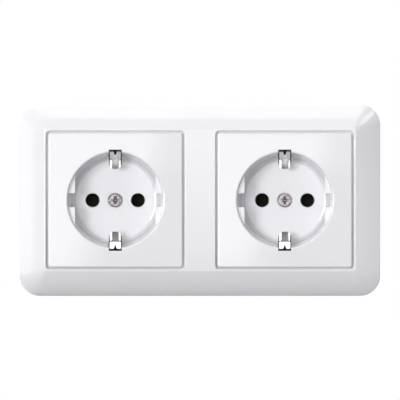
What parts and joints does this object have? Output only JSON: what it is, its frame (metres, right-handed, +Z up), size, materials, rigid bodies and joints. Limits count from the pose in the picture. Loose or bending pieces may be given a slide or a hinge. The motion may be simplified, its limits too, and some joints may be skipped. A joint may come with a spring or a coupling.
{
  "type": "double schuko socket",
  "caption": "White double earthed wall socket: one sloped frame over round plug wells with side earth contacts.",
  "frame": {"origin": "middle of the frame on the wall plane", "axes": "+X along the frame, +Y into the wall, +Z up; the front faces -Y"},
  "size_m": [0.151, 0.0405, 0.08],
  "materials": {
    "white_moulding": "glossy moulded white",
    "dark_moulding": "matt moulded",
    "grey_moulding": "matt moulded",
    "button_moulding": "satin moulded",
    "zinc_sheet": "zinc plated",
    "spring_steel": "bright",
    "nickelled_strip": "nickel plated",
    "bright_screw": "nickel plated",
    "contact_brass": "bare"
  },
  "bodies": {
    "mounted_pair": {"double_frame": "white_moulding", "socket_a_cover": "white_moulding", "socket_a_centre_screw": "bright_screw", "socket_a_earth_strap": "nickelled_strip", "socket_a_support_ring": "zinc_sheet", "socket_a_contact_carrier": "dark_moulding", "socket_a_rear_cover": "grey_moulding", "socket_a_live_contact": "contact_brass", "socket_a_neutral_contact": "contact_brass", "socket_a_live_clamp_spring": "spring_steel", "socket_a_neutral_clamp_spring": "spring_steel", "socket_a_earth_clamp_spring": "spring_steel", "socket_b_cover": "white_moulding", "socket_b_centre_screw": "bright_screw", "socket_b_earth_strap": "nickelled_strip", "socket_b_support_ring": "zinc_sheet", "socket_b_contact_carrier": "dark_moulding", "socket_b_rear_cover": "grey_moulding", "socket_b_live_contact": "contact_brass", "socket_b_neutral_contact": "contact_brass", "socket_b_live_clamp_spring": "spring_steel", "socket_b_neutral_clamp_spring": "spring_steel", "socket_b_earth_clamp_spring": "spring_steel"},
    "socket_a_live_release_button_body": {"socket_a_live_release_button": "button_moulding"},
    "socket_a_neutral_release_button_body": {"socket_a_neutral_release_button": "button_moulding"},
    "socket_a_earth_release_button_body": {"socket_a_earth_release_button": "button_moulding"},
    "socket_a_right_claw_body": {"socket_a_right_claw": "zinc_sheet"},
    "socket_a_right_claw_screw_body": {"socket_a_right_claw_screw": "zinc_sheet"},
    "socket_a_right_claw_nut_body": {"socket_a_right_claw_nut": "zinc_sheet"},
    "socket_a_left_claw_body": {"socket_a_left_claw": "zinc_sheet"},
    "socket_a_left_claw_screw_body": {"socket_a_left_claw_screw": "zinc_sheet"},
    "socket_a_left_claw_nut_body": {"socket_a_left_claw_nut": "zinc_sheet"},
    "socket_b_live_release_button_body": {"socket_b_live_release_button": "button_moulding"},
    "socket_b_neutral_release_button_body": {"socket_b_neutral_release_button": "button_moulding"},
    "socket_b_earth_release_button_body": {"socket_b_earth_release_button": "button_moulding"},
    "socket_b_right_claw_body": {"socket_b_right_claw": "zinc_sheet"},
    "socket_b_right_claw_screw_body": {"socket_b_right_claw_screw": "zinc_sheet"},
    "socket_b_right_claw_nut_body": {"socket_b_right_claw_nut": "zinc_sheet"},
    "socket_b_left_claw_body": {"socket_b_left_claw": "zinc_sheet"},
    "socket_b_left_claw_screw_body": {"socket_b_left_claw_screw": "zinc_sheet"},
    "socket_b_left_claw_nut_body": {"socket_b_left_claw_nut": "zinc_sheet"}
  },
  "joints": [
    {"name": "socket_a_live_release_push", "type": "slide", "parent": "mounted_pair", "child": "socket_a_live_release_button_body", "axis": [0, -1, 0], "range_m": [0, 0.0015], "stiffness_N_per_m": 1500, "springref_m": -0.001},
    {"name": "socket_a_neutral_release_push", "type": "slide", "parent": "mounted_pair", "child": "socket_a_neutral_release_button_body", "axis": [0, -1, 0], "range_m": [0, 0.0015], "stiffness_N_per_m": 1500, "springref_m": -0.001},
    {"name": "socket_a_earth_release_push", "type": "slide", "parent": "mounted_pair", "child": "socket_a_earth_release_button_body", "axis": [0, -1, 0], "range_m": [0, 0.0015], "stiffness_N_per_m": 1500, "springref_m": -0.001},
    {"name": "socket_a_right_claw_screw_turn", "type": "hinge", "parent": "mounted_pair", "child": "socket_a_right_claw_screw_body", "pos_m": [-0.0107, 0, 0], "axis": [0, 1, 0], "range_deg": [0, 7057]},
    {"name": "socket_a_right_claw_nut_slide", "type": "slide", "parent": "mounted_pair", "child": "socket_a_right_claw_nut_body", "axis": [0, -1, 0], "range_m": [0, 0.0098]},
    {"name": "socket_a_right_claw_swing", "type": "hinge", "parent": "mounted_pair", "child": "socket_a_right_claw_body", "pos_m": [-0.0109, 0.0019, 0], "axis": [0, 0, -1], "range_deg": [0, 13.21]},
    {"name": "socket_a_left_claw_screw_turn", "type": "hinge", "parent": "mounted_pair", "child": "socket_a_left_claw_screw_body", "pos_m": [-0.0603, 0, 0], "axis": [0, 1, 0], "range_deg": [0, 7057]},
    {"name": "socket_a_left_claw_nut_slide", "type": "slide", "parent": "mounted_pair", "child": "socket_a_left_claw_nut_body", "axis": [0, -1, 0], "range_m": [0, 0.0098]},
    {"name": "socket_a_left_claw_swing", "type": "hinge", "parent": "mounted_pair", "child": "socket_a_left_claw_body", "pos_m": [-0.0601, 0.0019, 0], "axis": [0, 0, 1], "range_deg": [0, 13.21]},
    {"name": "socket_b_live_release_push", "type": "slide", "parent": "mounted_pair", "child": "socket_b_live_release_button_body", "axis": [0, -1, 0], "range_m": [0, 0.0015], "stiffness_N_per_m": 1500, "springref_m": -0.001},
    {"name": "socket_b_neutral_release_push", "type": "slide", "parent": "mounted_pair", "child": "socket_b_neutral_release_button_body", "axis": [0, -1, 0], "range_m": [0, 0.0015], "stiffness_N_per_m": 1500, "springref_m": -0.001},
    {"name": "socket_b_earth_release_push", "type": "slide", "parent": "mounted_pair", "child": "socket_b_earth_release_button_body", "axis": [0, -1, 0], "range_m": [0, 0.0015], "stiffness_N_per_m": 1500, "springref_m": -0.001},
    {"name": "socket_b_right_claw_screw_turn", "type": "hinge", "parent": "mounted_pair", "child": "socket_b_right_claw_screw_body", "pos_m": [0.0603, 0, 0], "axis": [0, 1, 0], "range_deg": [0, 7057]},
    {"name": "socket_b_right_claw_nut_slide", "type": "slide", "parent": "mounted_pair", "child": "socket_b_right_claw_nut_body", "axis": [0, -1, 0], "range_m": [0, 0.0098]},
    {"name": "socket_b_right_claw_swing", "type": "hinge", "parent": "mounted_pair", "child": "socket_b_right_claw_body", "pos_m": [0.0601, 0.0019, 0], "axis": [0, 0, -1], "range_deg": [0, 13.21]},
    {"name": "socket_b_left_claw_screw_turn", "type": "hinge", "parent": "mounted_pair", "child": "socket_b_left_claw_screw_body", "pos_m": [0.0107, 0, 0], "axis": [0, 1, 0], "range_deg": [0, 7057]},
    {"name": "socket_b_left_claw_nut_slide", "type": "slide", "parent": "mounted_pair", "child": "socket_b_left_claw_nut_body", "axis": [0, -1, 0], "range_m": [0, 0.0098]},
    {"name": "socket_b_left_claw_swing", "type": "hinge", "parent": "mounted_pair", "child": "socket_b_left_claw_body", "pos_m": [0.0109, 0.0019, 0], "axis": [0, 0, 1], "range_deg": [0, 13.21]}
  ],
  "couplings": [
    {"joint": "socket_a_right_claw_screw_turn", "follows": "socket_a_right_claw_nut_slide", "rad_per_m": 12566},
    {"joint": "socket_a_right_claw_swing", "follows": "socket_a_right_claw_nut_slide", "rad_per_m": 23.509},
    {"joint": "socket_a_left_claw_screw_turn", "follows": "socket_a_left_claw_nut_slide", "rad_per_m": 12566},
    {"joint": "socket_a_left_claw_swing", "follows": "socket_a_left_claw_nut_slide", "rad_per_m": 23.509},
    {"joint": "socket_b_right_claw_screw_turn", "follows": "socket_b_right_claw_nut_slide", "rad_per_m": 12566},
    {"joint": "socket_b_right_claw_swing", "follows": "socket_b_right_claw_nut_slide", "rad_per_m": 23.509},
    {"joint": "socket_b_left_claw_screw_turn", "follows": "socket_b_left_claw_nut_slide", "rad_per_m": 12566},
    {"joint": "socket_b_left_claw_swing", "follows": "socket_b_left_claw_nut_slide", "rad_per_m": 23.509}
  ]
}
